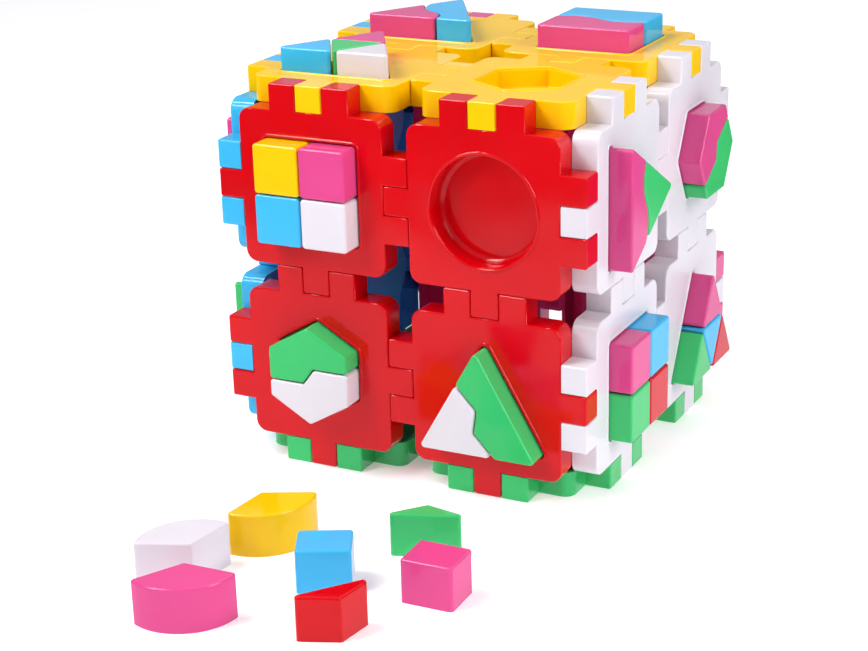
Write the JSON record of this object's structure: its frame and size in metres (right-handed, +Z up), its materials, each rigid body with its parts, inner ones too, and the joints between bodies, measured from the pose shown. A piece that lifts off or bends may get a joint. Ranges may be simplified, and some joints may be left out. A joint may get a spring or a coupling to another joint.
{
  "type": "shape sorter",
  "caption": "Sorter cube of interlocking square panels with shaped recesses, plug-in geometric inserts and loose inserts beside it.",
  "frame": {"origin": "middle of the cube base, on the surface it stands on", "axes": "+Z up, the red face towards -Y, the white face towards +X; the loose inserts lie towards -Y"},
  "size_m": [0.2526, 0.4475, 0.2388],
  "materials": {
    "blue_plastic": "glossy injection-moulded plastic",
    "green_plastic": "glossy injection-moulded plastic",
    "mixed_plastic": "glossy injection-moulded plastic",
    "pink_plastic": "glossy injection-moulded plastic",
    "red_plastic": "glossy injection-moulded plastic",
    "white_plastic": "glossy injection-moulded plastic",
    "yellow_plastic": "glossy injection-moulded plastic"
  },
  "bodies": {
    "base": {"bottom_back_left_panel": "green_plastic", "bottom_back_right_panel": "green_plastic", "bottom_front_left_panel": "green_plastic", "bottom_front_right_panel": "green_plastic"},
    "back_lower_left": {"back_lower_left_panel": "pink_plastic"},
    "back_lower_right": {"back_lower_right_panel": "pink_plastic"},
    "back_upper_left": {"back_upper_left_panel": "pink_plastic"},
    "back_upper_right": {"back_upper_right_panel": "pink_plastic"},
    "front_lower_left": {"front_lower_left_panel": "red_plastic"},
    "front_lower_right": {"front_lower_right_panel": "red_plastic"},
    "front_upper_left": {"front_upper_left_panel": "red_plastic"},
    "front_upper_right": {"front_upper_right_panel": "red_plastic"},
    "left_lower_back": {"left_lower_back_panel": "blue_plastic"},
    "left_lower_front": {"left_lower_front_panel": "blue_plastic"},
    "left_upper_back": {"left_upper_back_panel": "blue_plastic"},
    "left_upper_front": {"left_upper_front_panel": "blue_plastic"},
    "right_lower_back": {"right_lower_back_panel": "white_plastic"},
    "right_lower_front": {"right_lower_front_panel": "white_plastic"},
    "right_upper_back": {"right_upper_back_panel": "white_plastic"},
    "right_upper_front": {"right_upper_front_panel": "white_plastic"},
    "top_back_left": {"top_back_left_panel": "yellow_plastic"},
    "top_back_right": {"top_back_right_panel": "yellow_plastic"},
    "top_front_left": {"top_front_left_panel": "yellow_plastic"},
    "top_front_right": {"top_front_right_panel": "yellow_plastic"},
    "front_square_yellow": {"front_square_yellow": "yellow_plastic"},
    "front_square_pink": {"front_square_pink": "pink_plastic"},
    "front_square_blue": {"front_square_blue": "blue_plastic"},
    "front_square_white": {"front_square_white": "white_plastic"},
    "front_hexagon_green": {"front_hexagon_green": "green_plastic"},
    "front_hexagon_white": {"front_hexagon_white": "white_plastic"},
    "front_triangle_white": {"front_triangle_white": "white_plastic"},
    "front_triangle_green": {"front_triangle_green": "green_plastic"},
    "right_triangle_green": {"right_triangle_green": "green_plastic"},
    "right_triangle_pink": {"right_triangle_pink": "pink_plastic"},
    "right_hexagon_pink": {"right_hexagon_pink": "pink_plastic"},
    "right_hexagon_green": {"right_hexagon_green": "green_plastic"},
    "right_square_inserts": {"right_square_inserts": "mixed_plastic"},
    "right_triangle_inserts": {"right_triangle_inserts": "mixed_plastic"},
    "top_triangle_inserts": {"top_triangle_inserts": "mixed_plastic"},
    "top_triangle_pink": {"top_triangle_pink": "pink_plastic"},
    "top_triangle_blue": {"top_triangle_blue": "blue_plastic"},
    "top_square_pink": {"top_square_pink": "pink_plastic"},
    "top_square_blue": {"top_square_blue": "blue_plastic"},
    "left_square_pink": {"left_square_pink": "pink_plastic"},
    "left_square_white": {"left_square_white": "white_plastic"},
    "left_circle_inserts": {"left_circle_inserts": "mixed_plastic"},
    "left_triangle_inserts": {"left_triangle_inserts": "mixed_plastic"},
    "left_hexagon_inserts": {"left_hexagon_inserts": "mixed_plastic"},
    "back_circle_inserts": {"back_circle_inserts": "mixed_plastic"},
    "back_triangle_inserts": {"back_triangle_inserts": "mixed_plastic"},
    "back_square_inserts": {"back_square_inserts": "mixed_plastic"},
    "back_hexagon_green": {"back_hexagon_green": "green_plastic"},
    "back_hexagon_yellow": {"back_hexagon_yellow": "yellow_plastic"},
    "loose_circle_pink": {"loose_circle_pink": "pink_plastic"},
    "loose_circle_white": {"loose_circle_white": "white_plastic"},
    "loose_circle_yellow": {"loose_circle_yellow": "yellow_plastic"},
    "loose_hexagon_blue": {"loose_hexagon_blue": "blue_plastic"},
    "loose_hexagon_green": {"loose_hexagon_green": "green_plastic"},
    "loose_hexagon_pink": {"loose_hexagon_pink": "pink_plastic"},
    "loose_hexagon_red": {"loose_hexagon_red": "red_plastic"}
  },
  "joints": [
    {"name": "front_upper_left_pull", "type": "slide", "parent": "base", "child": "front_upper_left", "axis": [0, -1, 0], "range_m": [0, 0.035]},
    {"name": "front_upper_right_pull", "type": "slide", "parent": "base", "child": "front_upper_right", "axis": [0, -1, 0], "range_m": [0, 0.035]},
    {"name": "right_upper_front_pull", "type": "slide", "parent": "base", "child": "right_upper_front", "axis": [1, 0, 0], "range_m": [0, 0.035]},
    {"name": "top_front_left_pull", "type": "slide", "parent": "base", "child": "top_front_left", "axis": [0, 0, 1], "range_m": [0, 0.035]},
    {"name": "left_upper_front_pull", "type": "slide", "parent": "base", "child": "left_upper_front", "axis": [-1, 0, 0], "range_m": [0, 0.035]},
    {"name": "back_upper_left_pull", "type": "slide", "parent": "base", "child": "back_upper_left", "axis": [0, 1, 0], "range_m": [0, 0.035]},
    {"name": "front_square_yellow_pull", "type": "slide", "parent": "front_upper_left", "child": "front_square_yellow", "axis": [0, -1, 0], "range_m": [0, 0.03]},
    {"name": "front_square_pink_pull", "type": "slide", "parent": "front_upper_left", "child": "front_square_pink", "axis": [0, -1, 0], "range_m": [0, 0.03]},
    {"name": "front_square_blue_pull", "type": "slide", "parent": "front_upper_left", "child": "front_square_blue", "axis": [0, -1, 0], "range_m": [0, 0.03]},
    {"name": "front_square_white_pull", "type": "slide", "parent": "front_upper_left", "child": "front_square_white", "axis": [0, -1, 0], "range_m": [0, 0.03]},
    {"name": "front_hexagon_green_pull", "type": "slide", "parent": "front_lower_left", "child": "front_hexagon_green", "axis": [0, -1, 0], "range_m": [0, 0.03]},
    {"name": "front_hexagon_white_pull", "type": "slide", "parent": "front_lower_left", "child": "front_hexagon_white", "axis": [0, -1, 0], "range_m": [0, 0.03]},
    {"name": "front_triangle_white_pull", "type": "slide", "parent": "front_lower_right", "child": "front_triangle_white", "axis": [0, -1, 0], "range_m": [0, 0.03]},
    {"name": "front_triangle_green_pull", "type": "slide", "parent": "front_lower_right", "child": "front_triangle_green", "axis": [0, -1, 0], "range_m": [0, 0.03]},
    {"name": "right_triangle_green_pull", "type": "slide", "parent": "right_upper_front", "child": "right_triangle_green", "axis": [1, 0, 0], "range_m": [0, 0.03]},
    {"name": "right_triangle_pink_pull", "type": "slide", "parent": "right_upper_front", "child": "right_triangle_pink", "axis": [1, 0, 0], "range_m": [0, 0.03]},
    {"name": "right_hexagon_pink_pull", "type": "slide", "parent": "right_upper_back", "child": "right_hexagon_pink", "axis": [1, 0, 0], "range_m": [0, 0.03]},
    {"name": "right_hexagon_green_pull", "type": "slide", "parent": "right_upper_back", "child": "right_hexagon_green", "axis": [1, 0, 0], "range_m": [0, 0.03]},
    {"name": "top_triangle_pink_pull", "type": "slide", "parent": "top_back_left", "child": "top_triangle_pink", "axis": [0, 0, 1], "range_m": [0, 0.03]},
    {"name": "top_triangle_blue_pull", "type": "slide", "parent": "top_back_left", "child": "top_triangle_blue", "axis": [0, 0, 1], "range_m": [0, 0.03]},
    {"name": "top_square_pink_pull", "type": "slide", "parent": "top_back_right", "child": "top_square_pink", "axis": [0, 0, 1], "range_m": [0, 0.03]},
    {"name": "top_square_blue_pull", "type": "slide", "parent": "top_back_right", "child": "top_square_blue", "axis": [0, 0, 1], "range_m": [0, 0.03]},
    {"name": "right_square_inserts_pull", "type": "slide", "parent": "right_lower_front", "child": "right_square_inserts", "axis": [1, 0, 0], "range_m": [0, 0.03]},
    {"name": "right_triangle_inserts_pull", "type": "slide", "parent": "right_lower_back", "child": "right_triangle_inserts", "axis": [1, 0, 0], "range_m": [0, 0.03]},
    {"name": "top_triangle_inserts_pull", "type": "slide", "parent": "top_front_left", "child": "top_triangle_inserts", "axis": [0, 0, 1], "range_m": [0, 0.03]},
    {"name": "loose_circle_pink_lift", "type": "slide", "parent": "base", "child": "loose_circle_pink", "axis": [0, 0, 1], "range_m": [0, 0.1]},
    {"name": "loose_hexagon_red_lift", "type": "slide", "parent": "base", "child": "loose_hexagon_red", "axis": [0, 0, 1], "range_m": [0, 0.1]},
    {"name": "left_triangle_inserts_pull", "type": "slide", "parent": "left_lower_front", "child": "left_triangle_inserts", "axis": [-1, 0, 0], "range_m": [0, 0.03]},
    {"name": "back_lower_left_pull", "type": "slide", "parent": "base", "child": "back_lower_left", "axis": [0, 1, 0], "range_m": [0, 0.035]},
    {"name": "back_lower_right_pull", "type": "slide", "parent": "base", "child": "back_lower_right", "axis": [0, 1, 0], "range_m": [0, 0.035]},
    {"name": "back_upper_right_pull", "type": "slide", "parent": "base", "child": "back_upper_right", "axis": [0, 1, 0], "range_m": [0, 0.035]},
    {"name": "front_lower_left_pull", "type": "slide", "parent": "base", "child": "front_lower_left", "axis": [0, -1, 0], "range_m": [0, 0.035]},
    {"name": "front_lower_right_pull", "type": "slide", "parent": "base", "child": "front_lower_right", "axis": [0, -1, 0], "range_m": [0, 0.035]},
    {"name": "left_lower_back_pull", "type": "slide", "parent": "base", "child": "left_lower_back", "axis": [-1, 0, 0], "range_m": [0, 0.035]},
    {"name": "left_lower_front_pull", "type": "slide", "parent": "base", "child": "left_lower_front", "axis": [-1, 0, 0], "range_m": [0, 0.035]},
    {"name": "left_upper_back_pull", "type": "slide", "parent": "base", "child": "left_upper_back", "axis": [-1, 0, 0], "range_m": [0, 0.035]},
    {"name": "right_lower_back_pull", "type": "slide", "parent": "base", "child": "right_lower_back", "axis": [1, 0, 0], "range_m": [0, 0.035]},
    {"name": "right_lower_front_pull", "type": "slide", "parent": "base", "child": "right_lower_front", "axis": [1, 0, 0], "range_m": [0, 0.035]},
    {"name": "right_upper_back_pull", "type": "slide", "parent": "base", "child": "right_upper_back", "axis": [1, 0, 0], "range_m": [0, 0.035]},
    {"name": "top_back_left_pull", "type": "slide", "parent": "base", "child": "top_back_left", "axis": [0, 0, 1], "range_m": [0, 0.035]},
    {"name": "top_back_right_pull", "type": "slide", "parent": "base", "child": "top_back_right", "axis": [0, 0, 1], "range_m": [0, 0.035]},
    {"name": "top_front_right_pull", "type": "slide", "parent": "base", "child": "top_front_right", "axis": [0, 0, 1], "range_m": [0, 0.035]},
    {"name": "left_square_pink_pull", "type": "slide", "parent": "left_upper_front", "child": "left_square_pink", "axis": [-1, 0, 0], "range_m": [0, 0.03]},
    {"name": "left_square_white_pull", "type": "slide", "parent": "left_upper_front", "child": "left_square_white", "axis": [-1, 0, 0], "range_m": [0, 0.03]},
    {"name": "left_circle_inserts_pull", "type": "slide", "parent": "left_upper_back", "child": "left_circle_inserts", "axis": [-1, 0, 0], "range_m": [0, 0.03]},
    {"name": "left_hexagon_inserts_pull", "type": "slide", "parent": "left_lower_back", "child": "left_hexagon_inserts", "axis": [-1, 0, 0], "range_m": [0, 0.03]},
    {"name": "back_circle_inserts_pull", "type": "slide", "parent": "back_upper_right", "child": "back_circle_inserts", "axis": [0, 1, 0], "range_m": [0, 0.03]},
    {"name": "back_triangle_inserts_pull", "type": "slide", "parent": "back_upper_left", "child": "back_triangle_inserts", "axis": [0, 1, 0], "range_m": [0, 0.03]},
    {"name": "back_square_inserts_pull", "type": "slide", "parent": "back_lower_right", "child": "back_square_inserts", "axis": [0, 1, 0], "range_m": [0, 0.03]},
    {"name": "back_hexagon_green_pull", "type": "slide", "parent": "back_lower_left", "child": "back_hexagon_green", "axis": [0, 1, 0], "range_m": [0, 0.03]},
    {"name": "back_hexagon_yellow_pull", "type": "slide", "parent": "back_lower_left", "child": "back_hexagon_yellow", "axis": [0, 1, 0], "range_m": [0, 0.03]},
    {"name": "loose_circle_white_lift", "type": "slide", "parent": "base", "child": "loose_circle_white", "axis": [0, 0, 1], "range_m": [0, 0.1]},
    {"name": "loose_circle_yellow_lift", "type": "slide", "parent": "base", "child": "loose_circle_yellow", "axis": [0, 0, 1], "range_m": [0, 0.1]},
    {"name": "loose_hexagon_blue_lift", "type": "slide", "parent": "base", "child": "loose_hexagon_blue", "axis": [0, 0, 1], "range_m": [0, 0.1]},
    {"name": "loose_hexagon_green_lift", "type": "slide", "parent": "base", "child": "loose_hexagon_green", "axis": [0, 0, 1], "range_m": [0, 0.1]},
    {"name": "loose_hexagon_pink_lift", "type": "slide", "parent": "base", "child": "loose_hexagon_pink", "axis": [0, 0, 1], "range_m": [0, 0.1]}
  ]
}
